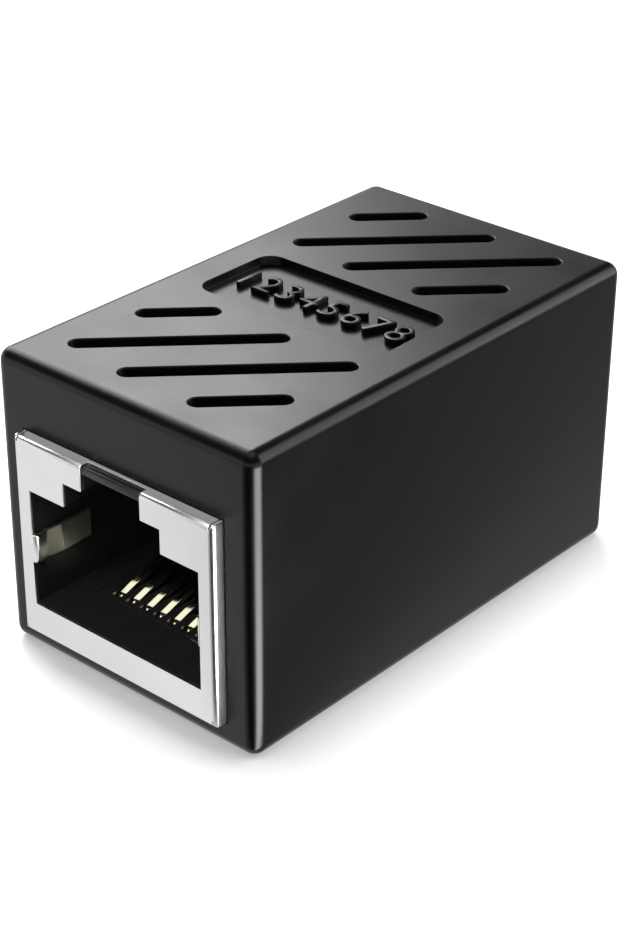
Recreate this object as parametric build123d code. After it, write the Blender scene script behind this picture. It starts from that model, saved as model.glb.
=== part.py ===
from build123d import *
import os
from math import atan2, cos, degrees, radians, sin, sqrt, tan

# Inline coupler for two network plugs, in millimetres.
# Width runs along X, length along Y, the front port faces -Y, and the base lies on Z = 0.

# Port opening: a wide mouth, a step for the latch's shoulders and a slot for the latch itself
mouth_width = 12.1
mouth_height = 6.9
step_width = 6.9
step_height = 1.4
slot_width = 4.2
latch_rise = 0.9
notch_depth = 0.6
plug_depth = 11.1

# Plastic jack body, and the insert that carries its contacts
slide_gap = 0.05
body_reveal = 0.05
body_side = 0.7
latch_roof = 0.4
lip_setback = 0.1
lip_drop = 0.1
lip_radius = 0.2
comb_base = 0.35
comb_wall = 0.3
insert_side = 0.7
guide_depth = 0.8
guide_height = 4.4
peg_radius = 0.8
peg_edge = 0.6
peg_setback = 7.0
peg_rise = 0.3
peg_clearance = 0.05

# Spring contacts, bent from flat wire
contact_count = 8
contact_pitch = 1.016
contact_width = 0.42
contact_thickness = 0.3
contact_setback = 3.6
contact_turn = 0.45
contact_sink = 0.1
contact_rise = 18.0
contact_end_gap = 0.25
contact_nose_gap = 0.2
contact_slot = 0.56
contact_slot_gap = 0.05
tail_bend = 0.5
tail_row_gap = 1.1
tail_row_step = 1.8
tail_room = 1.2
tail_rise = 0.7

# Port shield, folded from thin sheet and standing proud of both ends of the casing
port_proud = 0.8
sheet = 0.2
bend_radius = 0.28
seam = 0.08
seam_relief = 0.15
flap_short = 0.2
core_gap = 0.2
window_gap = 0.08

# Grounding fingers folded in from both sides of the mouth
finger_width = 1.65
finger_height = 3.4
finger_reach = 4.0
finger_dip = 0.9
finger_crest = 1.9
finger_stand = 0.3
finger_bow = 0.12

# Circuit board above the jacks, and its solder
board_thickness = 1.2
board_side_gap = 0.1
board_end_gap = 0.1
board_hole = 0.8
pin_sides = 6
tab_width = 1.8
tab_setback = 9.5
tab_rise = 0.5
tab_slot_gap = 0.1
solder_foot = 0.55
solder_head = 0.3
solder_height = 0.5
tab_solder_margin = 0.25
tab_solder_slope = 0.15

# Casing: a moulded sleeve with its front wall, and a cap let into its open rear end
edge_radius = 0.75
side_wall = 1.25
floor_wall = 1.2
roof_wall = 1.6
end_wall = 1.8
core_side_room = 0.7
head_room = 0.6
cap_rim = 0.9
cap_corner = 0.4
cap_gap = 0.05
cap_chamfer = 0.12

# Rails inside the casing that guide and carry the core
rail_height = 0.35
rail_width = 1.2
rail_spacing = 8.0
side_rib_height = 1.0
side_rib_level = 6.5
ledge_height = 0.8
keeper_width = 0.35

# Snap hooks of the rear cap
hook_width = 3.0
hook_spacing = 9.0
hook_length = 3.8
hook_thickness = 0.8
hook_roof_gap = 0.1
barb_height = 0.45
barb_length = 1.0
barb_ramp = 0.7
barb_gap = 0.1

# Grooves and panel in the top of the casing
groove_width = 1.05
groove_depth = 0.7
groove_pitch = 3.45
groove_count = 4
groove_chamfer = 0.05
groove_field_width = 12.8
groove_field_length = 8.7
groove_field_spacing = 17.4
groove_shift = 0.25
panel_width = 12.9
panel_length = 6.0
panel_depth = 0.5
panel_corner = 1.0

# Half widths, from the port outwards to the casing
body_half = mouth_width / 2 + body_reveal + body_side
shield_inner_half = body_half + slide_gap
shield_half = shield_inner_half + sheet
inner_half_width = shield_half + core_side_room
case_width = 2 * (inner_half_width + side_wall)
board_half_width = inner_half_width - board_side_gap
insert_half = ((contact_count - 1) * contact_pitch + contact_slot) / 2 + insert_side
peg_x = body_half - peg_edge - peg_radius

# Levels, from the base upwards
shield_base = floor_wall + rail_height + slide_gap
body_base = shield_base + sheet + slide_gap
slot_floor = body_base + comb_base
wire_low = slot_floor + contact_slot_gap + contact_thickness / 2
mouth_base = wire_low + 2 * contact_turn + contact_thickness / 2 + contact_sink
floor_level = mouth_base - body_reveal
mouth_top = mouth_base + mouth_height
step_top = mouth_top + step_height
latch_top = step_top + latch_rise
roof_under_flap = latch_top + latch_roof
flap_underside = roof_under_flap + slide_gap
shield_top = flap_underside + sheet
body_top = shield_top - slide_gap
board_base = shield_top
board_top = board_base + board_thickness
tail_top = board_top + tail_rise
roof_level = tail_top + head_room
case_height = roof_level + roof_wall

# Depths, from the port's face inwards to the middle of the coupler
tail_row_near = plug_depth + guide_depth + tail_row_gap
port_face = tail_row_near + tail_row_step + tail_room
case_half = port_face - port_proud
case_length = 2 * case_half
wall_inside = case_half - end_wall
board_half_length = wall_inside - board_end_gap
top_flap = port_proud + end_wall - flap_short
shield_back = port_face - core_gap / 2
body_face = sheet + slide_gap
body_back = shield_back - sheet - slide_gap
slot_start = contact_setback - contact_nose_gap
insert_start = slot_start - comb_wall
barb_start = wall_inside - hook_length
overcut = 1.0


def block(x0, x1, y0, y1, z0, z1):
    """Box between two opposite corners."""
    size = Box(x1 - x0, y1 - y0, z1 - z0)
    return Pos((x0 + x1) / 2, (y0 + y1) / 2, (z0 + z1) / 2) * size


def mirrored(shape):
    """A shape together with its mirror image across the middle plane X = 0."""
    return shape + mirror(shape, about=Plane.YZ)


def upright_plate(width, height, corner):
    """Rounded rectangle standing in the XZ plane, with its middle at the origin."""
    return Plane.XZ * RectangleRounded(width, height, corner)


def port_window():
    """Cutter for the rectangular hole through which a shield stands out of an end wall."""
    half = shield_half + window_gap
    return block(-half, half, 0, end_wall + 2 * overcut, shield_base - window_gap, shield_top + window_gap)


def groove_lines():
    """Start and end of each slanting groove of one field, measured from the field's middle."""
    half_x = groove_field_width / 2
    half_y = groove_field_length / 2
    lines = []
    for index in range(groove_count):
        offset = (index - (groove_count - 1) / 2) * groove_pitch * sqrt(2) - groove_shift
        start_x = max(-half_x, offset - half_y)
        end_x = min(half_x, offset + half_y)
        lines.append(((start_x, start_x - offset), (end_x, end_x - offset)))
    return lines


def groove(start, end, middle_y):
    """Cutter for one round-ended groove with a softened mouth."""
    length = (end[0] - start[0]) * sqrt(2)
    centre_x = (start[0] + end[0]) / 2
    centre_y = (start[1] + end[1]) / 2 + middle_y
    outline = SlotOverall(length, groove_width, rotation=45)
    trench = extrude(outline, amount=groove_depth)
    mouth_outline = SlotOverall(length + 2 * groove_chamfer, groove_width + 2 * groove_chamfer, rotation=45)
    mouth = extrude(mouth_outline, amount=-groove_chamfer, taper=45)
    place_trench = Pos(centre_x, centre_y, case_height - groove_depth)
    place_mouth = Pos(centre_x, centre_y, case_height)
    return place_trench * trench + place_mouth * mouth


def casing_grooves():
    """All groove cutters: one field on each side of the panel."""
    cutters = []
    for side in (-1, 1):
        for start, end in groove_lines():
            cutters.append(groove(start, end, side * groove_field_spacing / 2))
    return cutters


def panel_recess():
    """Cutter for the shallow round-cornered panel between the groove fields."""
    outline = RectangleRounded(panel_width, panel_length, panel_corner)
    return Pos(0, 0, case_height - panel_depth) * extrude(outline, amount=panel_depth + overcut)


def hook_lane(side):
    """Middle of one snap hook across the width."""
    return side * hook_spacing / 2


def casing_rails():
    """Rails under and beside the core, and the ledges and keepers that hold the board's edges."""
    start = -wall_inside - slide_gap
    end = board_half_length
    guide = shield_half + slide_gap
    wall = inner_half_width + slide_gap
    lane = rail_spacing / 2
    rail_top = floor_wall + rail_height
    rail = block(lane - rail_width / 2, lane + rail_width / 2, start, end, floor_wall - slide_gap, rail_top)
    rib_base = side_rib_level - side_rib_height / 2
    rib = block(guide, wall, start, end, rib_base, rib_base + side_rib_height)
    ledge_top = board_base - slide_gap
    ledge = block(guide, wall, start, end, ledge_top - ledge_height, ledge_top)
    keeper_base = board_top + slide_gap
    keeper = block(inner_half_width - keeper_width, wall, start, end, keeper_base, keeper_base + ledge_height)
    return mirrored(rail + rib + ledge + keeper)


def hook_pocket(side):
    """Cutter for the pocket in the roof that takes one hook's barb."""
    lane = hook_lane(side)
    half = hook_width / 2 + barb_gap
    top = roof_level - hook_roof_gap + barb_height + barb_gap
    return block(lane - half, lane + half, barb_start - barb_gap, barb_start + barb_length + barb_gap,
                 roof_level - slide_gap, top)


def housing():
    """Sleeve with its front wall: rounded outside, hollow, grooved on top, rebated at the rear."""
    body = block(-case_width / 2, case_width / 2, -case_half, case_half, 0, case_height)
    body = fillet(body.edges(), edge_radius)
    hollow_end = case_half + overcut
    body -= block(-inner_half_width, inner_half_width, -wall_inside, hollow_end, floor_wall, roof_level)
    rebate_outline = upright_plate(case_width - 2 * cap_rim, case_height - 2 * cap_rim, cap_corner)
    rebate = extrude(rebate_outline, amount=-(end_wall + overcut))
    body -= Pos(0, wall_inside, case_height / 2) * rebate
    body -= Pos(0, -case_half - overcut, 0) * port_window()
    body -= panel_recess()
    for cutter in casing_grooves():
        body -= cutter
    for side in (-1, 1):
        body -= hook_pocket(side)
    return body + casing_rails()


def snap_hook(side):
    """One hook of the cap: a tongue under the roof with a barb that clicks into the roof's pocket."""
    top = roof_level - hook_roof_gap
    start_x = hook_lane(side) - hook_width / 2
    root = wall_inside + cap_gap
    tongue = block(start_x, start_x + hook_width, barb_start, root, top - hook_thickness, top)
    barb_points = [
        (barb_start, top - slide_gap),
        (barb_start, top),
        (barb_start + barb_ramp, top + barb_height),
        (barb_start + barb_length, top + barb_height),
        (barb_start + barb_length, top - slide_gap),
    ]
    barb_face = make_face(Plane.YZ * Polyline(*barb_points, close=True))
    barb = Pos(start_x, 0, 0) * extrude(barb_face, amount=hook_width, dir=(1, 0, 0))
    return tongue + barb


def rear_cap():
    """Plate let into the rear of the sleeve, with the port's window and two snap hooks."""
    margin = cap_rim + cap_gap
    outline = upright_plate(case_width - 2 * margin, case_height - 2 * margin, cap_corner - cap_gap)
    plate = Pos(0, wall_inside, case_height / 2) * extrude(outline, amount=-end_wall)
    plate = chamfer(plate.faces().sort_by(Axis.Y)[-1].edges(), cap_chamfer)
    plate -= Pos(0, wall_inside - overcut, 0) * port_window()
    for side in (-1, 1):
        plate += snap_hook(side)
    return plate


def finger():
    """Grounding finger on the +X side, its root bent from the front plate back along the mouth's side."""
    line_x = mouth_width / 2 - finger_stand + sheet / 2
    plate_y = sheet / 2
    turn = bend_radius - sheet / 2
    path = FilletPolyline(
        (line_x + 2 * bend_radius, plate_y),
        (line_x, plate_y),
        (line_x + finger_bow, finger_dip),
        (line_x, finger_crest),
        (line_x + finger_bow / 2, finger_reach),
        radius=[turn, 2 * turn, 4 * turn],
    )
    strip = trace(path, sheet)
    base = mouth_base + finger_height - finger_width / 2
    return Pos(0, 0, base) * extrude(strip, amount=finger_width)


def port_opening(gap, depth):
    """Cutter shaped like the port: the mouth and the latch step above it, widened by a gap."""
    mouth_half = mouth_width / 2 + gap
    step_half = step_width / 2 + gap
    mouth = block(-mouth_half, mouth_half, 0, depth, mouth_base - gap, mouth_top + gap)
    step = block(-step_half, step_half, 0, depth, mouth_top - gap, step_top + gap)
    return mouth + step


def shield_seams():
    """Cutter for the slits that part the folded walls at the corners of the shield, on the +X side."""
    outer = shield_inner_half
    inner = outer - seam
    low = shield_base - overcut
    high = shield_top + overcut
    far = shield_back + overcut
    top_seam = block(inner, outer, -overcut, top_flap + seam, flap_underside - seam_relief, high)
    floor_seam = block(inner, outer, -overcut, far, low, shield_base + sheet + seam_relief)
    back_seam = block(inner, outer, shield_back - sheet - seam, far, low, high)
    return top_seam + floor_seam + back_seam


def shield():
    """Folded sheet box round one jack, with its front plate at Y = 0 and the plug entering along +Y."""
    outer = shield_half
    inner = shield_inner_half
    high = shield_top + overcut
    can = block(-outer, outer, 0, shield_back, shield_base, shield_top)
    can = fillet(can.faces().sort_by(Axis.Y)[0].edges(), bend_radius)
    can -= block(-inner, inner, sheet, shield_back - sheet, shield_base + sheet, flap_underside)
    can -= block(-inner, inner, top_flap, shield_back - sheet, flap_underside - sheet, high)
    can -= block(-outer - overcut, outer + overcut, top_flap, shield_back + overcut, body_top, high)
    can -= Pos(0, -overcut, 0) * port_opening(0, sheet + 2 * overcut)
    can -= block(-slot_width / 2, slot_width / 2, -overcut, notch_depth, step_top - seam, high)
    can -= mirrored(shield_seams())
    tab_start = tab_setback - tab_width / 2
    tab = block(inner, outer, tab_start, tab_start + tab_width, body_top - sheet, board_top + tab_rise)
    return can + mirrored(tab + finger())


def contact_x(index):
    """Middle of a contact across the width; contacts count from zero at the -X side."""
    return (index - (contact_count - 1) / 2) * contact_pitch


def tail_y(index):
    """Depth of a contact's tail behind the port's face; tails stand in two staggered rows."""
    return tail_row_near + (index % 2) * tail_row_step


def latch_lip():
    """Rounded bar of the jack body that fills the notch in the shield's top flap."""
    half = slot_width / 2 - slide_gap
    lip = block(-half, half, lip_setback, notch_depth - slide_gap, latch_top, shield_top - lip_drop)
    front = lip.faces().sort_by(Axis.Y)[0]
    return fillet(front.edges().filter_by(Axis.X), lip_radius)


def jack_body():
    """Plastic body of one jack, open at the front for the plug and at the rear for the insert."""
    outer = body_half + overcut
    high = body_top + overcut
    low = body_base - overcut
    far = body_back + overcut
    body = block(-body_half, body_half, body_face, body_back, body_base, body_top)
    body -= block(-outer, outer, 0, top_flap + slide_gap, roof_under_flap, high)
    body -= port_opening(body_reveal, plug_depth)
    body -= block(-slot_width / 2, slot_width / 2, 0, plug_depth, mouth_top, latch_top)
    body += latch_lip()
    pocket = insert_half + slide_gap
    body -= block(-pocket, pocket, insert_start - slide_gap, far, low, floor_level + slide_gap)
    body -= block(-pocket, pocket, plug_depth - slide_gap, far, low, high)
    peg = extrude(RegularPolygon(peg_radius, pin_sides), amount=board_top + peg_rise - body_top + slide_gap)
    for side in (-1, 1):
        body += Pos(side * peg_x, peg_setback, body_top - slide_gap) * peg
    return body


def contact_insert():
    """Insert with a comb along the port's floor and a block behind the plug that guides the contacts."""
    comb = block(-insert_half, insert_half, insert_start, body_back, body_base, floor_level)
    rear = block(-insert_half, insert_half, plug_depth, body_back, body_base, body_top)
    insert = comb + rear
    half = contact_slot / 2
    high = body_top + overcut
    guide_end = plug_depth + guide_depth
    guide_top = floor_level + guide_height
    for index in range(contact_count):
        x = contact_x(index)
        tail = tail_y(index)
        insert -= block(x - half, x + half, slot_start, plug_depth, slot_floor, high)
        insert -= block(x - half, x + half, plug_depth - slide_gap, tail + half, slot_floor, floor_level)
        insert -= block(x - half, x + half, tail - half, tail + half, slot_floor, high)
        insert -= block(x - half, x + half, plug_depth - slide_gap, guide_end, slot_floor, guide_top)
    return insert


def contact(index):
    """Flat wire that comes down from the board, runs under the floor and springs back up inside."""
    tail = tail_y(index)
    centre_y = contact_setback + contact_thickness / 2 + contact_turn
    centre_z = wire_low + contact_turn
    slope = radians(contact_rise)
    nose_tip = (centre_y - contact_turn, centre_z)
    blade_start = (centre_y - contact_turn * sin(slope), centre_z + contact_turn * cos(slope))
    blade_end_y = plug_depth + guide_depth - contact_end_gap
    blade_end = (blade_end_y, blade_start[1] + (blade_end_y - blade_start[0]) * tan(slope))
    bend_start = (tail, wire_low + tail_bend)
    bend_end = (tail - tail_bend, wire_low)
    run = Polyline((tail, tail_top), bend_start, bend_end, (centre_y, wire_low))
    nose = ThreePointArc((centre_y, wire_low), nose_tip, blade_start)
    blade = Line(blade_start, blade_end)
    strip = Plane.YZ * trace(run + nose + blade, contact_thickness)
    wire = extrude(strip, amount=contact_width / 2, dir=(1, 0, 0), both=True)
    return Pos(contact_x(index), 0, 0) * wire


def solder_cone(x, y):
    """Fillet of solder on the board round one contact tail, as a many-sided cone."""
    slant = degrees(atan2(solder_foot - solder_head, solder_height))
    outline = RegularPolygon(solder_foot, pin_sides, major_radius=False)
    cone = extrude(outline, amount=solder_height, taper=slant)
    cone -= Box(contact_width, contact_thickness, 3 * solder_height)
    return Pos(x, y, board_top) * cone


def tab_solder(side):
    """Bead of solder on the board round one tab of the shield."""
    width = sheet + 2 * tab_solder_margin
    length = tab_width + 2 * tab_solder_margin
    height = tab_rise - tab_solder_margin / 2
    bead = Box(width, length, height, align=(Align.CENTER, Align.CENTER, Align.MIN))
    bead = chamfer(bead.faces().sort_by(Axis.Z)[-1].edges(), tab_solder_slope)
    bead -= Box(sheet, tab_width, 3 * height)
    return Pos(side * (shield_half - sheet / 2), tab_setback, board_top) * bead


def solder_joints():
    """All solder of one jack: a cone for each contact tail and a bead for each tab."""
    joints = [solder_cone(contact_x(index), tail_y(index)) for index in range(contact_count)]
    return joints + [tab_solder(side) for side in (-1, 1)]


def at_front(shape):
    """Move a shape from the jack's own frame, where the port's face is Y = 0, to the front end."""
    return Pos(0, -port_face, 0) * shape


def at_rear(shape):
    """The same shape turned half round for the rear end."""
    return Rot(0, 0, 180) * at_front(shape)


def board_drill(radius, depth):
    """Many-sided cutter for a hole that a round pin of the given radius passes through."""
    outline = RegularPolygon(radius, pin_sides, major_radius=False)
    return extrude(outline, amount=depth / 2, both=True)


def circuit_board():
    """Board above both jacks, with holes for contact tails and pegs and slots for the shields' tabs."""
    width = board_half_width
    length = board_half_length
    board = block(-width, width, -length, length, board_base, board_top)
    depth = board_thickness + overcut
    drill = board_drill(board_hole / 2, depth)
    peg_drill = board_drill(peg_radius + peg_clearance, depth)
    tab_hole = Box(sheet + 2 * tab_slot_gap, tab_width + 2 * tab_slot_gap, depth)
    level = (board_base + board_top) / 2
    holes = [Pos(contact_x(index), tail_y(index), level) * drill for index in range(contact_count)]
    for side in (-1, 1):
        holes.append(Pos(side * peg_x, peg_setback, level) * peg_drill)
        holes.append(Pos(side * (shield_half - sheet / 2), tab_setback, level) * tab_hole)
    for hole in holes:
        board -= at_front(hole)
        board -= at_rear(hole)
    return board


def save(shape, name):
    """Write one sub-part to its own file."""
    export_step(shape, f"parts/{name}.step")


def main():
    os.makedirs("parts", exist_ok=True)
    save(housing(), "housing")
    save(rear_cap(), "rear_cap")
    save(circuit_board(), "circuit_board")
    shared = {
        "shield": shield(),
        "jack_body": jack_body(),
        "contact_insert": contact_insert(),
    }
    for index in range(contact_count):
        shared[f"contact_{index + 1}"] = contact(index)
    joints = solder_joints()
    for end, place in (("front", at_front), ("rear", at_rear)):
        for name, shape in shared.items():
            save(place(shape), f"{end}_{name}")
        save(Compound([place(joint) for joint in joints]), f"{end}_solder_joints")


main()
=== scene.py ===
import bmesh
import bpy
import math
from bpy.props import FloatProperty, FloatVectorProperty, IntProperty, PointerProperty
from mathutils import Matrix, Vector


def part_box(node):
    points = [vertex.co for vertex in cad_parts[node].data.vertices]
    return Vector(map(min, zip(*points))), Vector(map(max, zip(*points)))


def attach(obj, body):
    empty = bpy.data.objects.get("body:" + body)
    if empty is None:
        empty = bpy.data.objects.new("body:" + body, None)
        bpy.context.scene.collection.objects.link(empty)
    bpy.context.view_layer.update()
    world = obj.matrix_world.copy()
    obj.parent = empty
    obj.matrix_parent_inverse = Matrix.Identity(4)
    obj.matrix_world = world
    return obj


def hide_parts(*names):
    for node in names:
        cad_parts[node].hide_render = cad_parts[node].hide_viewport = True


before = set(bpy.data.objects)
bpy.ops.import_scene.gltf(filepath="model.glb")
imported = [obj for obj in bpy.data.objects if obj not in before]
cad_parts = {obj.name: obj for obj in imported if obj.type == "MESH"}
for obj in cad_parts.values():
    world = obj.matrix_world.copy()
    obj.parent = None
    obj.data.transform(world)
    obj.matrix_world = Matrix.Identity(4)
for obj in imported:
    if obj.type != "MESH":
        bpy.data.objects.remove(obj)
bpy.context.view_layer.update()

bl_info = {
    "name": "Inline coupler finish",
    "version": (1, 0, 0),
    "blender": (4, 5, 0),
    "location": "View3D > Sidebar > Coupler",
    "description": "Dresses the packed inline coupler with its finishes, edges, numerals and studio stage",
    "category": "Object",
}

MM = 0.001
BODY = "root"
ENDS = ("front", "rear")
CONTACT_COUNT = 8

# How corners are welded, flats are joined and edges are told from smooth turns
WELD_DISTANCE = 1e-7
FLAT_ANGLE = math.radians(0.2)
SHARP_ANGLE = math.radians(30)

# Values that noise mostly lies between
NOISE_LOW = 0.3
NOISE_HIGH = 0.7

# Height of a numeral as a share of its type size
NUMERAL_SHARE = 0.7

# Openness of the floor where the coupler stands and clear of it, and the glow left where it stands, so the glow
# dims into painted contact shade round the coupler's foot
FOOT_OPENNESS = 0.45
CLEAR_OPENNESS = 0.95
FOOT_GLOW = 0.45

# The brightest band of the floor's painted reflection glow fades out by this multiple of its reach
RING_FADE = 1.5

# Distance of the wall card from the casing's end face
CARD_GAP = 0.02 * MM

# Camera's sensor width in millimetres, and its clipping distances
SENSOR_WIDTH = 36
CLIP_NEAR = 1 * MM
CLIP_FAR = 10


def colour_property(name, description, value):
    """Colour setting shown with a swatch."""
    return FloatVectorProperty(name=name, description=description, default=value, size=3,
                               subtype="COLOR", min=0, max=1)


def length_property(name, description, millimetres):
    """Length setting, given in millimetres and kept in metres."""
    return FloatProperty(name=name, description=description, default=millimetres * MM, min=0,
                         subtype="DISTANCE", unit="LENGTH", precision=5)


def angle_property(name, description, degrees):
    """Angle setting, given in degrees."""
    return FloatProperty(name=name, description=description, default=math.radians(degrees),
                         subtype="ANGLE", unit="ROTATION")


def factor_property(name, description, value, top=1.0):
    """Plain number setting from zero to a limit."""
    return FloatProperty(name=name, description=description, default=value, min=0, max=top, subtype="FACTOR")


class CouplerFinishSettings(bpy.types.PropertyGroup):
    """Colours and gloss of every material on the coupler."""

    casing_colour: colour_property("Casing colour", "Plastic of the sleeve and its cap", (0.0045, 0.0045, 0.0048))
    casing_roughness: factor_property("Casing roughness", "Satin of the moulded casing", 0.3)
    casing_specular: factor_property("Casing reflectance", "Strength of the casing's shine", 0.4)
    grain_height: length_property("Casing grain", "Height of the moulding grain on the casing", 0.006)
    jack_colour: colour_property("Jack colour", "Plastic of the jack bodies and inserts", (0.014, 0.014, 0.015))
    jack_roughness: factor_property("Jack roughness", "Gloss of the plastic inside the ports", 0.32)
    metal_colour: colour_property("Shield colour", "Plating of the folded shields", (0.96, 0.96, 0.95))
    metal_roughness: factor_property("Shield roughness", "Satin of the plated sheet", 0.3)
    gold_colour: colour_property("Contact colour", "Plating of the spring contacts", (1.0, 0.92, 0.66))
    gold_roughness: factor_property("Contact roughness", "Gloss of the plated wire", 0.1)
    laminate_colour: colour_property("Board colour", "Lacquer of the circuit board", (0.012, 0.075, 0.028))
    tin_colour: colour_property("Solder colour", "Tin of the solder joints", (0.62, 0.62, 0.60))


class CouplerEdgeSettings(bpy.types.PropertyGroup):
    """Small roundings that catch the light along the edges of each piece."""

    casing_edge: length_property("Casing edge", "Rounding of the casing's cut edges", 0.03)
    metal_edge: length_property("Shield edge", "Rounding of the stamped edges of the shields", 0.03)
    jack_edge: length_property("Jack edge", "Rounding of the moulded edges inside the ports", 0.035)
    wire_edge: length_property("Contact edge", "Rounding of the contacts' corners", 0.04)
    segments: IntProperty(name="Segments", description="Steps across each rounding", default=2, min=1, max=4)


class CouplerNumeralSettings(bpy.types.PropertyGroup):
    """Raised numerals in the panel, one for each contact of the port."""

    height: length_property("Numeral height", "Height of the raised numerals", 1.85)
    pitch: length_property("Numeral pitch", "Distance from one numeral to the next", 1.52)
    relief: length_property("Numeral relief", "How far the numerals rise from the panel's floor", 0.36)
    sink: length_property("Numeral root", "How far the numerals reach into the panel's floor", 0.05)
    edge: length_property("Numeral edge", "Rounding along the top of the numerals", 0.025)
    count: IntProperty(name="Numerals", description="How many numerals are counted", default=CONTACT_COUNT, min=1)


class CouplerStageSettings(bpy.types.PropertyGroup):
    """Camera, lamps and floor of the studio."""

    camera_azimuth: angle_property("Camera azimuth", "Turn of the camera round the coupler", 41.234)
    camera_elevation: angle_property("Camera elevation", "Height of the camera above the horizon", 29.056)
    camera_roll: angle_property("Camera roll", "Turn of the camera about its own axis", 0.222)
    camera_distance: length_property("Camera distance", "From the coupler's middle to the camera", 124.204)
    camera_right: FloatProperty(name="Camera right", description="Sideways place of the camera",
                                default=-0.567 * MM, subtype="DISTANCE", unit="LENGTH", precision=5)
    camera_up: FloatProperty(name="Camera up", description="Upward place of the camera",
                             default=-1.028 * MM, subtype="DISTANCE", unit="LENGTH", precision=5)
    camera_lens: FloatProperty(name="Lens", description="Focal length in millimetres on a 36 mm long side",
                               default=87.092, min=1)
    key_azimuth: angle_property("Key azimuth", "Compass place of the large softbox, from +X towards +Y", 156.5)
    key_elevation: angle_property("Key elevation", "Height of the large softbox above the horizon", 37.5)
    key_distance: length_property("Key distance", "From the coupler to the large softbox", 350)
    key_width: length_property("Key width", "Width of the large softbox", 300)
    key_height: length_property("Key height", "Height of the large softbox", 170)
    key_radiance: factor_property("Key radiance", "Brightness of the large softbox's face", 6.0, 50.0)
    rim_azimuth: angle_property("Rim azimuth", "Compass place of the low strip lamp", 50)
    rim_elevation: angle_property("Rim elevation", "Height of the low strip lamp above the horizon", 22)
    rim_distance: length_property("Rim distance", "From the coupler to the low strip lamp", 350)
    rim_width: length_property("Rim width", "Width of the low strip lamp", 220)
    rim_height: length_property("Rim height", "Height of the low strip lamp", 280)
    rim_radiance: factor_property("Rim radiance", "Brightness of the low strip lamp's face", 2.2, 50.0)
    port_azimuth: angle_property("Port azimuth", "Compass place of the softbox that looks into the front port", -75)
    port_elevation: angle_property("Port elevation", "Height of the port softbox above the horizon", 45)
    port_distance: length_property("Port distance", "From a port to its softbox", 260)
    port_size: length_property("Port softbox size", "Side of the square port softbox", 190)
    port_radiance: factor_property("Port radiance", "Brightness of the port softbox's face", 4.4, 50.0)
    wall_height: length_property("Wall card height", "Height of the card that a shield's top edge mirrors", 1.2)
    wall_radiance: factor_property("Wall card radiance", "Brightness of the card over a shield", 0.25, 50.0)
    card_azimuth: angle_property("Card azimuth", "Compass place of the card that the front contacts mirror", 157)
    card_elevation: angle_property("Card elevation", "Height at which the contacts see the card", 51)
    card_lift: length_property("Card lift", "From the contacts up to the card", 1.6)
    card_width: length_property("Card width", "Width of the card across the contacts", 7.8)
    card_depth: length_property("Card depth", "Length of the card along the contacts", 1.0)
    card_reach: length_property("Card reach", "From the contacts' noses to the middle of the card's image", 0.55)
    blade_rise: length_property("Blade rise", "Height of the blades over the contacts' lowest point", 1.2)
    card_radiance: factor_property("Card radiance", "Brightness of the card", 1.0, 50.0)
    nose_azimuth: angle_property("Nose azimuth", "Compass place of the card that the contacts' noses mirror", -127)
    nose_elevation: angle_property("Nose elevation", "Height of the nose card above the horizon", 20)
    nose_distance: length_property("Nose distance", "From the contacts' noses to the nose card", 60)
    nose_width: length_property("Nose card width", "Width of the nose card", 30)
    nose_height: length_property("Nose card height", "Height of the nose card", 56)
    nose_radiance: factor_property("Nose radiance", "Brightness of the nose card", 1.3, 50.0)
    sky_fill: factor_property("Sky fill", "Even light from the room on matt surfaces", 0.3, 4.0)
    floor_size: length_property("Floor size", "Side of the square floor", 3000)
    floor_colour: colour_property("Floor colour", "Colour of the pale floor", (0.8, 0.8, 0.8))
    floor_glow: factor_property("Floor glow", "White added to the floor for the camera alone", 0.8, 2.0)
    # Reach of the painted contact shade, the dimmed glow round the coupler's foot
    floor_painted_shade_reach: length_property("Floor contact", "Reach of the dark line where the coupler meets the floor", 4)
    # Reach of the brightest band of painted reflection glow on the floor
    painted_reflection_reach: length_property("Floor card reach", "How far from the near corner the brightest floor card lies", 34)
    floor_gloss: factor_property("Floor gloss", "Share of the floor's light that it mirrors", 0.1)
    floor_roughness: factor_property("Floor roughness", "Blur of what the floor mirrors", 0.35)


SETTINGS = {
    "coupler_finish": CouplerFinishSettings,
    "coupler_edges": CouplerEdgeSettings,
    "coupler_numerals": CouplerNumeralSettings,
    "coupler_stage": CouplerStageSettings,
}


def new_material(name, roughness, metallic=0.0):
    """Empty node material: returns it with its tree and its shader."""
    material = bpy.data.materials.new(name)
    material.use_nodes = True
    shader = material.node_tree.nodes["Principled BSDF"]
    shader.inputs["Roughness"].default_value = roughness
    shader.inputs["Metallic"].default_value = metallic
    return material, material.node_tree, shader


def object_points(tree, stretch=(1, 1, 1)):
    """Object coordinates, stretched along the axes."""
    place = tree.nodes.new("ShaderNodeTexCoord")
    mapping = tree.nodes.new("ShaderNodeMapping")
    mapping.inputs["Scale"].default_value = stretch
    tree.links.new(place.outputs["Object"], mapping.inputs["Vector"])
    return mapping.outputs["Vector"]


def noise(tree, points, per_metre, detail=3.0, roughness=0.55):
    """Grey noise with that many lumps to the metre."""
    texture = tree.nodes.new("ShaderNodeTexNoise")
    texture.inputs["Scale"].default_value = per_metre
    texture.inputs["Detail"].default_value = detail
    texture.inputs["Roughness"].default_value = roughness
    tree.links.new(points, texture.inputs["Vector"])
    return texture.outputs["Fac"]


def spread(tree, value, low, high):
    """Noise turned into a number from low to high."""
    ranged = tree.nodes.new("ShaderNodeMapRange")
    ranged.inputs["From Min"].default_value = NOISE_LOW
    ranged.inputs["From Max"].default_value = NOISE_HIGH
    ranged.inputs["To Min"].default_value = low
    ranged.inputs["To Max"].default_value = high
    tree.links.new(value, ranged.inputs["Value"])
    return ranged.outputs["Result"]


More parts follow.
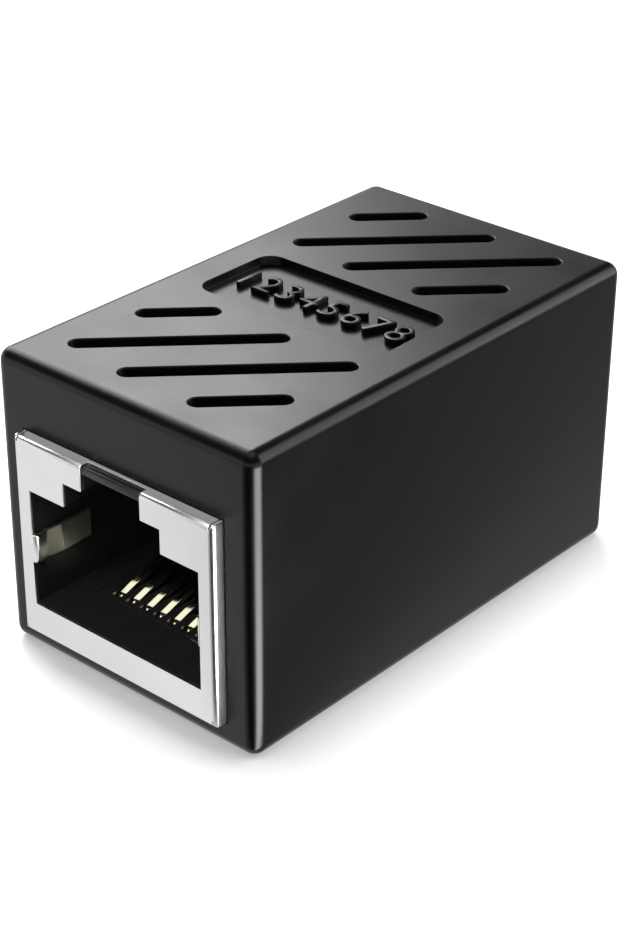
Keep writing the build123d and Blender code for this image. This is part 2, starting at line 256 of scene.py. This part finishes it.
def tint(tree, value, colour, depth):
    """Base colour that varies by a share of itself, driven by noise."""
    mix = tree.nodes.new("ShaderNodeMix")
    mix.data_type = "RGBA"
    mix.inputs["A"].default_value = (*[c * (1 - depth) for c in colour], 1)
    mix.inputs["B"].default_value = (*[min(1, c * (1 + depth)) for c in colour], 1)
    tree.links.new(value, mix.inputs["Factor"])
    return mix.outputs["Result"]


def bump(tree, shader, height, distance, strength=1.0):
    """Relief of that many metres on the shader's normal."""
    relief = tree.nodes.new("ShaderNodeBump")
    relief.inputs["Distance"].default_value = distance
    relief.inputs["Strength"].default_value = strength
    tree.links.new(height, relief.inputs["Height"])
    tree.links.new(relief.outputs["Normal"], shader.inputs["Normal"])


def casing_material(finish):
    """Black moulded plastic: satin, with a fine even grain and slow changes of gloss."""
    material, tree, shader = new_material("casing_plastic", finish.casing_roughness)
    shader.inputs["Specular IOR Level"].default_value = finish.casing_specular
    points = object_points(tree)
    grain = noise(tree, points, per_metre=7000, detail=4.0, roughness=0.6)
    slow = noise(tree, points, per_metre=260, detail=2.0)
    tree.links.new(tint(tree, slow, finish.casing_colour, depth=0.12), shader.inputs["Base Color"])
    gloss = spread(tree, slow, finish.casing_roughness - 0.02, finish.casing_roughness + 0.03)
    tree.links.new(gloss, shader.inputs["Roughness"])
    bump(tree, shader, grain, finish.grain_height, strength=0.6)
    return material


def jack_material(finish):
    """Black plastic inside the ports, smoother than the casing, with faint flow marks."""
    material, tree, shader = new_material("jack_plastic", finish.jack_roughness)
    points = object_points(tree, stretch=(1, 0.4, 1))
    flow = noise(tree, points, per_metre=900)
    ripple = noise(tree, points, per_metre=5000, detail=2.0)
    tree.links.new(tint(tree, flow, finish.jack_colour, depth=0.2), shader.inputs["Base Color"])
    gloss = spread(tree, flow, finish.jack_roughness - 0.05, finish.jack_roughness + 0.06)
    tree.links.new(gloss, shader.inputs["Roughness"])
    bump(tree, shader, ripple, distance=0.003 * MM, strength=0.5)
    return material


def metal_material(finish):
    """Plated sheet: pale satin metal with faint rolling lines across the width."""
    material, tree, shader = new_material("shield_metal", finish.metal_roughness, metallic=1.0)
    lines = noise(tree, object_points(tree, stretch=(0.06, 0.1, 1)), per_metre=9000, detail=2.0)
    cloud = noise(tree, object_points(tree), per_metre=500)
    tree.links.new(tint(tree, cloud, finish.metal_colour, depth=0.04), shader.inputs["Base Color"])
    gloss = spread(tree, lines, finish.metal_roughness - 0.015, finish.metal_roughness + 0.02)
    tree.links.new(gloss, shader.inputs["Roughness"])
    bump(tree, shader, lines, distance=0.0015 * MM, strength=0.4)
    return material


def gold_material(finish):
    """Thin gold plating on the spring wires, drawn along their length."""
    material, tree, shader = new_material("contact_gold", finish.gold_roughness, metallic=1.0)
    drawn = noise(tree, object_points(tree, stretch=(1, 0.08, 0.08)), per_metre=9000, detail=2.0)
    tree.links.new(tint(tree, drawn, finish.gold_colour, depth=0.08), shader.inputs["Base Color"])
    gloss = spread(tree, drawn, finish.gold_roughness - 0.04, finish.gold_roughness + 0.08)
    tree.links.new(gloss, shader.inputs["Roughness"])
    bump(tree, shader, drawn, distance=0.001 * MM, strength=0.4)
    return material


def laminate_material(finish):
    """Lacquered glass laminate of the circuit board, with its weave just showing."""
    material, tree, shader = new_material("board_laminate", roughness=0.28)
    points = object_points(tree)
    weave = tree.nodes.new("ShaderNodeTexWave")
    weave.inputs["Scale"].default_value = 700
    weave.inputs["Distortion"].default_value = 1.5
    tree.links.new(points, weave.inputs["Vector"])
    woven = weave.outputs["Fac"]
    lacquer = noise(tree, points, per_metre=1500)
    tree.links.new(tint(tree, woven, finish.laminate_colour, depth=0.12), shader.inputs["Base Color"])
    tree.links.new(spread(tree, lacquer, low=0.24, high=0.33), shader.inputs["Roughness"])
    bump(tree, shader, woven, distance=0.004 * MM, strength=0.5)
    return material


def tin_material(finish):
    """Soft bright tin with the faint grain of set solder."""
    material, tree, shader = new_material("solder_tin", roughness=0.25, metallic=1.0)
    points = object_points(tree)
    grain = noise(tree, points, per_metre=4000)
    tree.links.new(tint(tree, grain, finish.tin_colour, depth=0.1), shader.inputs["Base Color"])
    tree.links.new(spread(tree, grain, low=0.2, high=0.34), shader.inputs["Roughness"])
    bump(tree, shader, grain, distance=0.003 * MM, strength=0.5)
    return material


MATERIALS = {
    "casing_plastic": casing_material,
    "jack_plastic": jack_material,
    "shield_metal": metal_material,
    "contact_gold": gold_material,
    "board_laminate": laminate_material,
    "solder_tin": tin_material,
}


def material_for(slot):
    """The finish of a material slot, made the first time it is asked for."""
    made = bpy.data.materials.get(slot + "_finish")
    if made is None:
        made = MATERIALS[slot](bpy.context.scene.coupler_finish)
        made.name = slot + "_finish"
    return made


def plain_mesh(obj):
    """Replaces an object's mesh with its evaluated one, and drops its modifiers."""
    depsgraph = bpy.context.evaluated_depsgraph_get()
    finished = bpy.data.meshes.new_from_object(obj.evaluated_get(depsgraph), depsgraph=depsgraph)
    obj.modifiers.clear()
    obj.data = finished
    return obj


def hold_inside(obj, box):
    """Brings back into a box the few corners that the rounding pushes out of it."""
    low, high = box
    for vertex in obj.data.vertices:
        vertex.co = [min(max(vertex.co[axis], low[axis]), high[axis]) for axis in range(3)]


def soften_edges(obj, width, segments):
    """Rounds every sharp edge a little and evens the shading of the flats beside it."""
    obj.data.shade_smooth()
    bevel = obj.modifiers.new("edge_break", "BEVEL")
    bevel.width = width
    bevel.segments = segments
    bevel.limit_method = "ANGLE"
    bevel.angle_limit = SHARP_ANGLE
    bevel.use_clamp_overlap = False
    bevel.miter_outer = "MITER_SHARP"
    shading = obj.modifiers.new("even_shading", "WEIGHTED_NORMAL")
    shading.mode = "FACE_AREA"
    shading.keep_sharp = True
    return plain_mesh(obj)


def skin_of(node):
    """Object holding a copy of a CAD node's surface, its loose triangles joined into closed flats."""
    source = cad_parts[node].data
    corners = [vertex.co for vertex in source.vertices]
    triangles = [tuple(face.vertices) for face in source.polygons]
    mesh = bpy.data.meshes.new(node + "_skin")
    mesh.from_pydata(corners, [], triangles)
    surface = bmesh.new()
    surface.from_mesh(mesh)
    bmesh.ops.remove_doubles(surface, verts=surface.verts, dist=WELD_DISTANCE)
    bmesh.ops.dissolve_limit(surface, angle_limit=FLAT_ANGLE, verts=surface.verts, edges=surface.edges)
    surface.to_mesh(mesh)
    surface.free()
    obj = bpy.data.objects.new(node + "_skin", mesh)
    bpy.context.scene.collection.objects.link(obj)
    return obj


def dress(node, slot, edge):
    """Shows a CAD node through a softened copy of itself, in the finish of its slot."""
    obj = skin_of(node)
    soften_edges(obj, edge, bpy.context.scene.coupler_edges.segments)
    hold_inside(obj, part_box(node))
    obj.data.materials.clear()
    obj.data.materials.append(material_for(slot))
    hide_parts(node)
    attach(obj, BODY)
    return obj


def paint(node, slot):
    """Gives a CAD node that keeps its own surface the finish of its slot."""
    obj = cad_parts[node]
    obj.data.materials.clear()
    obj.data.materials.append(material_for(slot))


def link_sockets(tree, *pairs):
    """Joins each pair of an output and an input."""
    for output, target in pairs:
        tree.links.new(output, target)


def numeral_tree():
    """Node tree that counts from one and sets each raised numeral on its place along X."""
    tree = bpy.data.node_groups.new("raised_numerals", "GeometryNodeTree")
    sockets = {}
    for name, kind in (("Count", "NodeSocketInt"), ("Size", "NodeSocketFloat"), ("Pitch", "NodeSocketFloat"),
                       ("Relief", "NodeSocketFloat"), ("Weld", "NodeSocketFloat"),
                       ("Finish", "NodeSocketMaterial")):
        sockets[name] = tree.interface.new_socket(name, in_out="INPUT", socket_type=kind).identifier
    tree.interface.new_socket("Geometry", in_out="OUTPUT", socket_type="NodeSocketGeometry")
    add = tree.nodes.new
    given = add("NodeGroupInput")
    result = add("NodeGroupOutput")
    start = add("GeometryNodeRepeatInput")
    end = add("GeometryNodeRepeatOutput")
    start.pair_with_output(end)
    number = add("ShaderNodeMath")
    number.operation = "ADD"
    number.inputs[1].default_value = 1
    spelled = add("FunctionNodeValueToString")
    glyph = add("GeometryNodeStringToCurves")
    glyph.align_x = "CENTER"
    glyph.align_y = "MIDDLE"
    face = add("GeometryNodeFillCurve")
    face.mode = "NGONS"
    realized = add("GeometryNodeRealizeInstances")
    body = add("GeometryNodeExtrudeMesh")
    body.inputs["Individual"].default_value = False
    up = add("ShaderNodeCombineXYZ")
    up.inputs["Z"].default_value = 1
    underside = add("GeometryNodeFlipFaces")
    closed = add("GeometryNodeJoinGeometry")
    welded = add("GeometryNodeMergeByDistance")
    middle = add("ShaderNodeMath")
    middle.operation = "MULTIPLY_ADD"
    middle.inputs[1].default_value = -0.5
    middle.inputs[2].default_value = 0.5
    steps = add("ShaderNodeMath")
    steps.operation = "ADD"
    along = add("ShaderNodeMath")
    along.operation = "MULTIPLY"
    spot = add("ShaderNodeCombineXYZ")
    placed = add("GeometryNodeTransform")
    gathered = add("GeometryNodeJoinGeometry")
    whole = add("GeometryNodeRealizeInstances")
    coloured = add("GeometryNodeSetMaterial")
    link_sockets(
        tree,
        (given.outputs["Count"], start.inputs["Iterations"]),
        (start.outputs["Iteration"], number.inputs[0]),
        (number.outputs[0], spelled.inputs["Value"]),
        (spelled.outputs["String"], glyph.inputs["String"]),
        (given.outputs["Size"], glyph.inputs["Size"]),
        (glyph.outputs["Curve Instances"], realized.inputs["Geometry"]),
        (realized.outputs["Geometry"], face.inputs["Curve"]),
        (face.outputs["Mesh"], body.inputs["Mesh"]),
        (up.outputs["Vector"], body.inputs["Offset"]),
        (given.outputs["Relief"], body.inputs["Offset Scale"]),
        (face.outputs["Mesh"], underside.inputs["Mesh"]),
        (underside.outputs["Mesh"], closed.inputs["Geometry"]),
        (body.outputs["Mesh"], closed.inputs["Geometry"]),
        (closed.outputs["Geometry"], welded.inputs["Geometry"]),
        (given.outputs["Weld"], welded.inputs["Distance"]),
        (given.outputs["Count"], middle.inputs[0]),
        (start.outputs["Iteration"], steps.inputs[0]),
        (middle.outputs[0], steps.inputs[1]),
        (steps.outputs[0], along.inputs[0]),
        (given.outputs["Pitch"], along.inputs[1]),
        (along.outputs[0], spot.inputs["X"]),
        (spot.outputs["Vector"], placed.inputs["Translation"]),
        (welded.outputs["Geometry"], placed.inputs["Geometry"]),
        (start.outputs["Geometry"], gathered.inputs["Geometry"]),
        (placed.outputs["Geometry"], gathered.inputs["Geometry"]),
        (gathered.outputs["Geometry"], end.inputs["Geometry"]),
        (end.outputs["Geometry"], whole.inputs["Geometry"]),
        (whole.outputs["Geometry"], coloured.inputs["Geometry"]),
        (given.outputs["Finish"], coloured.inputs["Material"]),
        (coloured.outputs["Geometry"], result.inputs["Geometry"]),
    )
    return tree, sockets


def panel_floor():
    """Level of the floor of the panel in the casing's top, read from the casing's own flat."""
    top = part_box("housing")[1].z
    shallowest = top - 0.1 * MM
    deepest = top - 1.0 * MM
    half_length = 2.0 * MM
    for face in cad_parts["housing"].data.polygons:
        level = face.center.z
        if face.normal.z > 0.99 and deepest < level < shallowest and abs(face.center.y) < half_length:
            return level
    raise RuntimeError("the casing has no panel in its top")


class COUPLER_OT_casing(bpy.types.Operator):
    """Dress the moulded sleeve and its rear cap"""

    bl_idname = "coupler.casing"
    bl_label = "Casing"

    def execute(self, context):
        for node in ("housing", "rear_cap"):
            dress(node, "casing_plastic", context.scene.coupler_edges.casing_edge)
        return {"FINISHED"}


class COUPLER_OT_shields(bpy.types.Operator):
    """Dress the folded metal shields of both ports"""

    bl_idname = "coupler.shields"
    bl_label = "Shields"

    def execute(self, context):
        for end in ENDS:
            dress(end + "_shield", "shield_metal", context.scene.coupler_edges.metal_edge)
        return {"FINISHED"}


class COUPLER_OT_jacks(bpy.types.Operator):
    """Dress the plastic jack bodies and their contact inserts"""

    bl_idname = "coupler.jacks"
    bl_label = "Jacks"

    def execute(self, context):
        for end in ENDS:
            for piece in ("_jack_body", "_contact_insert"):
                dress(end + piece, "jack_plastic", context.scene.coupler_edges.jack_edge)
        return {"FINISHED"}


class COUPLER_OT_contacts(bpy.types.Operator):
    """Dress the eight spring contacts of each port"""

    bl_idname = "coupler.contacts"
    bl_label = "Contacts"

    def execute(self, context):
        for end in ENDS:
            for number in range(1, CONTACT_COUNT + 1):
                dress(f"{end}_contact_{number}", "contact_gold", context.scene.coupler_edges.wire_edge)
        return {"FINISHED"}


class COUPLER_OT_board(bpy.types.Operator):
    """Finish the circuit board and the solder that hold both jacks inside the casing"""

    bl_idname = "coupler.board"
    bl_label = "Board and solder"

    def execute(self, context):
        paint("circuit_board", "board_laminate")
        for end in ENDS:
            paint(end + "_solder_joints", "solder_tin")
        return {"FINISHED"}


class COUPLER_OT_numerals(bpy.types.Operator):
    """Raise the plain numerals one to eight in the panel"""

    bl_idname = "coupler.numerals"
    bl_label = "Numerals"

    def execute(self, context):
        given = context.scene.coupler_numerals
        tree, sockets = numeral_tree()
        obj = bpy.data.objects.new("panel_numerals", bpy.data.meshes.new("panel_numerals"))
        context.scene.collection.objects.link(obj)
        modifier = obj.modifiers.new("raised_numerals", "NODES")
        modifier.node_group = tree
        modifier[sockets["Count"]] = given.count
        modifier[sockets["Size"]] = given.height / NUMERAL_SHARE
        modifier[sockets["Pitch"]] = given.pitch
        modifier[sockets["Relief"]] = given.relief + given.sink
        modifier[sockets["Weld"]] = WELD_DISTANCE
        modifier[sockets["Finish"]] = material_for("casing_plastic")
        plain_mesh(obj)
        if not obj.data.polygons:
            raise RuntimeError("the numerals came out empty")
        obj.data.transform(Matrix.Translation((0, 0, panel_floor() - given.sink)))
        soften_edges(obj, given.edge, segments=2)
        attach(obj, BODY)
        return {"FINISHED"}


# Glow of the floor that gloss alone sees, by compass place round the corner nearest to the camera: painted
# reflections on the coupler, its peak a painted highlight along the casing's near edge
PAINTED_REFLECTION_LEVELS = (
    (-180, 0.74), (-166, 0.74), (-150, 0.84), (-136, 0.69), (-125, 0.55), (-92, 0.01), (-34, 0.01), (-20, 11.0),
    (14, 11.0), (34, 0.03), (52, 0.12), (70, 0.28), (88, 0.55), (110, 0.75), (180, 0.80),
)
PAINTED_REFLECTION_PEAK = 11.0

# Brightness of the room as gloss sees it, by the sine of the height above the horizon
SKY_LEVELS = ((0.0, 1.0), (0.2, 0.9), (0.3, 0.03), (0.86, 0.03), (0.95, 0.9), (1.0, 0.9))


def add_node(tree, kind, **values):
    """New node with some of its inputs set by name."""
    node = tree.nodes.new(kind)
    for name, value in values.items():
        node.inputs[name.replace("_", " ")].default_value = value
    return node


def level_ramp(tree, levels):
    """Grey ramp through pairs of position and level, both from zero to one."""
    ramp = tree.nodes.new("ShaderNodeValToRGB")
    ramp.color_ramp.interpolation = "EASE"
    points = ramp.color_ramp.elements
    points.remove(points[1])
    for index, (position, level) in enumerate(levels):
        element = points[0] if index == 0 else points.new(position)
        element.position = position
        element.color = (level, level, level, 1)
    return ramp


def camera_glow(tree, stage, path):
    """Light that whitens the floor for the camera alone, weaker where the coupler stands close over it: painted
    contact shade on the floor.
    """
    nearby = add_node(tree, "ShaderNodeAmbientOcclusion", Distance=stage.floor_painted_shade_reach)
    openness = add_node(tree, "ShaderNodeMapRange", From_Min=FOOT_OPENNESS, From_Max=CLEAR_OPENNESS,
                        To_Min=FOOT_GLOW * stage.floor_glow, To_Max=stage.floor_glow)
    level = tree.nodes.new("ShaderNodeMath")
    level.operation = "MULTIPLY"
    glow = add_node(tree, "ShaderNodeEmission", Color=(1, 1, 1, 1))
    link_sockets(
        tree,
        (nearby.outputs["AO"], openness.inputs["Value"]),
        (path.outputs["Is Camera Ray"], level.inputs[0]),
        (openness.outputs["Result"], level.inputs[1]),
        (level.outputs[0], glow.inputs["Strength"]),
    )
    return glow.outputs[0]


def painted_floor_reflections(tree, stage):
    """Painted reflections: glow of the floor that gloss alone sees, banded by compass place, the brightest band
    only near the corner.
    """
    low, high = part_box("housing")
    place = tree.nodes.new("ShaderNodeTexCoord")
    corner = add_node(tree, "ShaderNodeMapping", Location=(-high.x, -low.y, 0))
    compass = tree.nodes.new("ShaderNodeTexGradient")
    compass.gradient_type = "RADIAL"
    ramp = level_ramp(tree, [(azimuth / 360 + 0.5, level / PAINTED_REFLECTION_PEAK) for azimuth, level in PAINTED_REFLECTION_LEVELS])
    reach = tree.nodes.new("ShaderNodeVectorMath")
    reach.operation = "LENGTH"
    limit = add_node(tree, "ShaderNodeMapRange", From_Min=stage.painted_reflection_reach, From_Max=RING_FADE * stage.painted_reflection_reach,
                     To_Min=1, To_Max=1 / PAINTED_REFLECTION_PEAK)
    level = tree.nodes.new("ShaderNodeMath")
    level.operation = "MINIMUM"
    strength = tree.nodes.new("ShaderNodeMath")
    strength.operation = "MULTIPLY"
    strength.inputs[1].default_value = PAINTED_REFLECTION_PEAK
    reflection_glow = add_node(tree, "ShaderNodeEmission", Color=(1, 1, 1, 1))
    link_sockets(
        tree,
        (place.outputs["Object"], corner.inputs["Vector"]),
        (corner.outputs["Vector"], compass.inputs["Vector"]),
        (compass.outputs["Fac"], ramp.inputs["Fac"]),
        (corner.outputs["Vector"], reach.inputs[0]),
        (reach.outputs["Value"], limit.inputs["Value"]),
        (ramp.outputs["Color"], level.inputs[0]),
        (limit.outputs["Result"], level.inputs[1]),
        (level.outputs[0], strength.inputs[0]),
        (strength.outputs[0], reflection_glow.inputs["Strength"]),
    )
    return reflection_glow.outputs[0]


def floor_material(stage):
    """Pale floor: matt with a weak blurred mirror, and glowing in painted bands where gloss sees it, which gives
    painted reflections on the coupler.
    """
    material = bpy.data.materials.new("pale_floor")
    material.use_nodes = True
    tree = material.node_tree
    tree.nodes.remove(tree.nodes["Principled BSDF"])
    output = tree.nodes["Material Output"]
    matt = add_node(tree, "ShaderNodeBsdfDiffuse", Color=(*stage.floor_colour, 1))
    mirror = add_node(tree, "ShaderNodeBsdfAnisotropic", Color=(1, 1, 1, 1), Roughness=stage.floor_roughness)
    mixed = add_node(tree, "ShaderNodeMixShader", Fac=stage.floor_gloss)
    path = tree.nodes.new("ShaderNodeLightPath")
    lit = tree.nodes.new("ShaderNodeAddShader")
    seen = tree.nodes.new("ShaderNodeMixShader")
    link_sockets(
        tree,
        (matt.outputs[0], mixed.inputs[1]),
        (mirror.outputs[0], mixed.inputs[2]),
        (mixed.outputs[0], lit.inputs[0]),
        (camera_glow(tree, stage, path), lit.inputs[1]),
        # Gloss sees the painted reflection glow in place of the lit floor
        (path.outputs["Is Glossy Ray"], seen.inputs["Fac"]),
        (lit.outputs[0], seen.inputs[1]),
        (painted_floor_reflections(tree, stage), seen.inputs[2]),
        (seen.outputs[0], output.inputs["Surface"]),
    )
    return material


def add_floor(stage):
    """Square pale floor under the coupler."""
    half = stage.floor_size / 2
    mesh = bpy.data.meshes.new("studio_floor")
    mesh.from_pydata([(-half, -half, 0), (half, -half, 0), (half, half, 0), (-half, half, 0)], [], [(0, 1, 2, 3)])
    mesh.materials.append(floor_material(stage))
    floor = bpy.data.objects.new("studio_floor", mesh)
    bpy.context.scene.collection.objects.link(floor)


def add_sky(stage):
    """White room: even on matt surfaces, banded where gloss sees it, plain white behind the object."""
    world = bpy.data.worlds.new("studio_room")
    bpy.context.scene.world = world
    world.use_nodes = True
    tree = world.node_tree
    output = tree.nodes["World Output"]
    plain = tree.nodes["Background"]
    plain.inputs["Color"].default_value = (1, 1, 1, 1)
    plain.inputs["Strength"].default_value = 1
    fill = add_node(tree, "ShaderNodeBackground", Color=(1, 1, 1, 1), Strength=stage.sky_fill)
    gloss = add_node(tree, "ShaderNodeBackground", Strength=1)
    place = tree.nodes.new("ShaderNodeTexCoord")
    split = tree.nodes.new("ShaderNodeSeparateXYZ")
    ramp = level_ramp(tree, SKY_LEVELS)
    path = tree.nodes.new("ShaderNodeLightPath")
    shiny = tree.nodes.new("ShaderNodeMixShader")
    seen = tree.nodes.new("ShaderNodeMixShader")
    link_sockets(
        tree,
        (place.outputs["Generated"], split.inputs["Vector"]),
        (split.outputs["Z"], ramp.inputs["Fac"]),
        (ramp.outputs["Color"], gloss.inputs["Color"]),
        (path.outputs["Is Glossy Ray"], shiny.inputs["Fac"]),
        (fill.outputs[0], shiny.inputs[1]),
        (gloss.outputs[0], shiny.inputs[2]),
        (path.outputs["Is Camera Ray"], seen.inputs["Fac"]),
        (shiny.outputs[0], seen.inputs[1]),
        (plain.outputs[0], seen.inputs[2]),
        (seen.outputs[0], output.inputs["Surface"]),
    )


def compass_direction(azimuth, elevation):
    """Unit vector towards a compass place, azimuth counted from +X towards +Y."""
    return Vector((math.cos(azimuth) * math.cos(elevation),
                   math.sin(azimuth) * math.cos(elevation),
                   math.sin(elevation)))


def add_softbox(name, target, azimuth, elevation, distance, width, height, radiance):
    """Rectangular lamp that faces the target, with its power worked out from the face's brightness."""
    light = bpy.data.lights.new(name, "AREA")
    light.shape = "RECTANGLE"
    light.size = width
    light.size_y = height
    light.energy = radiance * math.pi * width * height
    lamp = bpy.data.objects.new(name, light)
    bpy.context.scene.collection.objects.link(lamp)
    direction = compass_direction(azimuth, elevation)
    lamp.location = target + direction * distance
    lamp.rotation_mode = "QUATERNION"
    lamp.rotation_quaternion = direction.to_track_quat("Z", "Y")
    lamp.visible_camera = False
    return lamp


def light_only(lamp, names):
    """Lets a lamp light the named objects and nothing else."""
    lit = bpy.data.collections.new(lamp.name + "_targets")
    for name in names:
        lit.objects.link(bpy.data.objects[name])
    lamp.light_linking.receiver_collection = lit


def port_pieces(end):
    """Names of the dressed pieces that can be seen in one port, contacts apart."""
    return [f"{end}_{piece}_skin" for piece in ("shield", "jack_body", "contact_insert")]


def contact_pieces(end):
    """Names of the dressed contacts of one port."""
    return [f"{end}_contact_{number}_skin" for number in range(1, CONTACT_COUNT + 1)]


def add_port_softbox(stage, end, turn):
    """Softbox that looks into one port and lights nothing else."""
    low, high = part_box(end + "_shield")
    softbox = add_softbox(end + "_port_softbox", (low + high) / 2, stage.port_azimuth + turn, stage.port_elevation,
                          stage.port_distance, stage.port_size, stage.port_size, stage.port_radiance)
    light_only(softbox, port_pieces(end) + contact_pieces(end))


def add_wall_card(stage, end, turn):
    """Card on the casing's end face, for the top edge of the shield to mirror."""
    inwards = math.cos(turn)
    casing_low, casing_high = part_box("housing")
    shield_low, shield_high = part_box(end + "_shield")
    face = casing_low.y if inwards > 0 else casing_high.y
    corners = [vertex.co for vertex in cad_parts[end + "_shield"].data.vertices]
    rim_top = max(corner.z for corner in corners if (corner.y - face) * inwards < 0)
    place = Vector((0, face - inwards * 2 * CARD_GAP, rim_top + stage.wall_height / 2))
    card = add_softbox(end + "_wall_card", place, math.pi / 2 + turn, 0, CARD_GAP,
                       shield_high.x - shield_low.x, stage.wall_height, stage.wall_radiance)
    light_only(card, [end + "_shield_skin"])


def add_contact_cards(stage, end, turn):
    """Cards that the blades and the noses of one port's contacts mirror."""
    inwards = math.cos(turn)
    low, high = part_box(end + "_contact_1")
    nose = low.y if inwards > 0 else high.y
    blades = Vector((0, nose + inwards * stage.card_reach, low.z + stage.blade_rise))
    towards = compass_direction(stage.card_azimuth + turn, stage.card_elevation)
    over = add_softbox(end + "_contact_card", blades + towards * stage.card_lift / towards.z, 0, math.pi / 2, 0,
                       stage.card_width, stage.card_depth, stage.card_radiance)
    light_only(over, contact_pieces(end))
    before = add_softbox(end + "_nose_card", Vector((0, nose, low.z)), stage.nose_azimuth + turn,
                         stage.nose_elevation, stage.nose_distance, stage.nose_width, stage.nose_height,
                         stage.nose_radiance)
    light_only(before, contact_pieces(end))


def add_camera(stage, target):
    """Camera at the photograph's viewing angle, its frame taken as 620 by 930 pixels."""
    azimuth, elevation, roll = stage.camera_azimuth, stage.camera_elevation, stage.camera_roll
    back = Vector((math.sin(azimuth) * math.cos(elevation),
                   -math.cos(azimuth) * math.cos(elevation),
                   math.sin(elevation)))
    level = Vector((math.cos(azimuth), math.sin(azimuth), 0))
    upright = back.cross(level)
    right = level * math.cos(roll) + upright * math.sin(roll)
    up = upright * math.cos(roll) - level * math.sin(roll)
    lens = bpy.data.cameras.new("studio_camera")
    lens.sensor_width = SENSOR_WIDTH
    lens.lens = stage.camera_lens
    lens.clip_start = CLIP_NEAR
    lens.clip_end = CLIP_FAR
    camera = bpy.data.objects.new("studio_camera", lens)
    bpy.context.scene.collection.objects.link(camera)
    turn = Matrix((right, up, back)).transposed()
    place = target + back * stage.camera_distance + right * stage.camera_right + up * stage.camera_up
    camera.matrix_world = Matrix.Translation(place) @ turn.to_4x4()
    bpy.context.scene.camera = camera


class COUPLER_OT_stage(bpy.types.Operator):
    """Set up the pale floor, the room, the lamps and the camera"""

    bl_idname = "coupler.stage"
    bl_label = "Stage"

    def execute(self, context):
        stage = context.scene.coupler_stage
        low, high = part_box("housing")
        target = Vector((0, 0, (low.z + high.z) / 2))
        context.scene.view_settings.view_transform = "Standard"
        add_floor(stage)
        add_sky(stage)
        add_softbox("key_softbox", target, stage.key_azimuth, stage.key_elevation, stage.key_distance,
                    stage.key_width, stage.key_height, stage.key_radiance)
        add_softbox("rim_strip", target, stage.rim_azimuth, stage.rim_elevation, stage.rim_distance,
                    stage.rim_width, stage.rim_height, stage.rim_radiance)
        for end, turn in zip(ENDS, (0, math.pi)):
            add_port_softbox(stage, end, turn)
            add_wall_card(stage, end, turn)
            add_contact_cards(stage, end, turn)
        add_camera(stage, target)
        return {"FINISHED"}


OPERATORS = (
    COUPLER_OT_casing,
    COUPLER_OT_shields,
    COUPLER_OT_jacks,
    COUPLER_OT_contacts,
    COUPLER_OT_board,
    COUPLER_OT_numerals,
    COUPLER_OT_stage,
)


class COUPLER_PT_panel(bpy.types.Panel):
    """Sidebar panel with the coupler's settings and the buttons that build its looks"""

    bl_idname = "COUPLER_PT_panel"
    bl_label = "Inline coupler"
    bl_space_type = "VIEW_3D"
    bl_region_type = "UI"
    bl_category = "Coupler"

    def draw(self, context):
        for name, group in SETTINGS.items():
            box = self.layout.box()
            for setting in group.__annotations__:
                box.prop(getattr(context.scene, name), setting)
        for operator in OPERATORS:
            self.layout.operator(operator.bl_idname)


def register():
    for cls in (*SETTINGS.values(), *OPERATORS, COUPLER_PT_panel):
        bpy.utils.register_class(cls)
    for name, group in SETTINGS.items():
        setattr(bpy.types.Scene, name, PointerProperty(type=group))


def unregister():
    for name in SETTINGS:
        delattr(bpy.types.Scene, name)
    for cls in reversed((*SETTINGS.values(), *OPERATORS, COUPLER_PT_panel)):
        bpy.utils.unregister_class(cls)


def main():
    register()
    bpy.ops.coupler.casing()
    bpy.ops.coupler.shields()
    bpy.ops.coupler.jacks()
    bpy.ops.coupler.contacts()
    bpy.ops.coupler.board()
    bpy.ops.coupler.numerals()
    bpy.ops.coupler.stage()


if __name__ == "__main__":
    main()
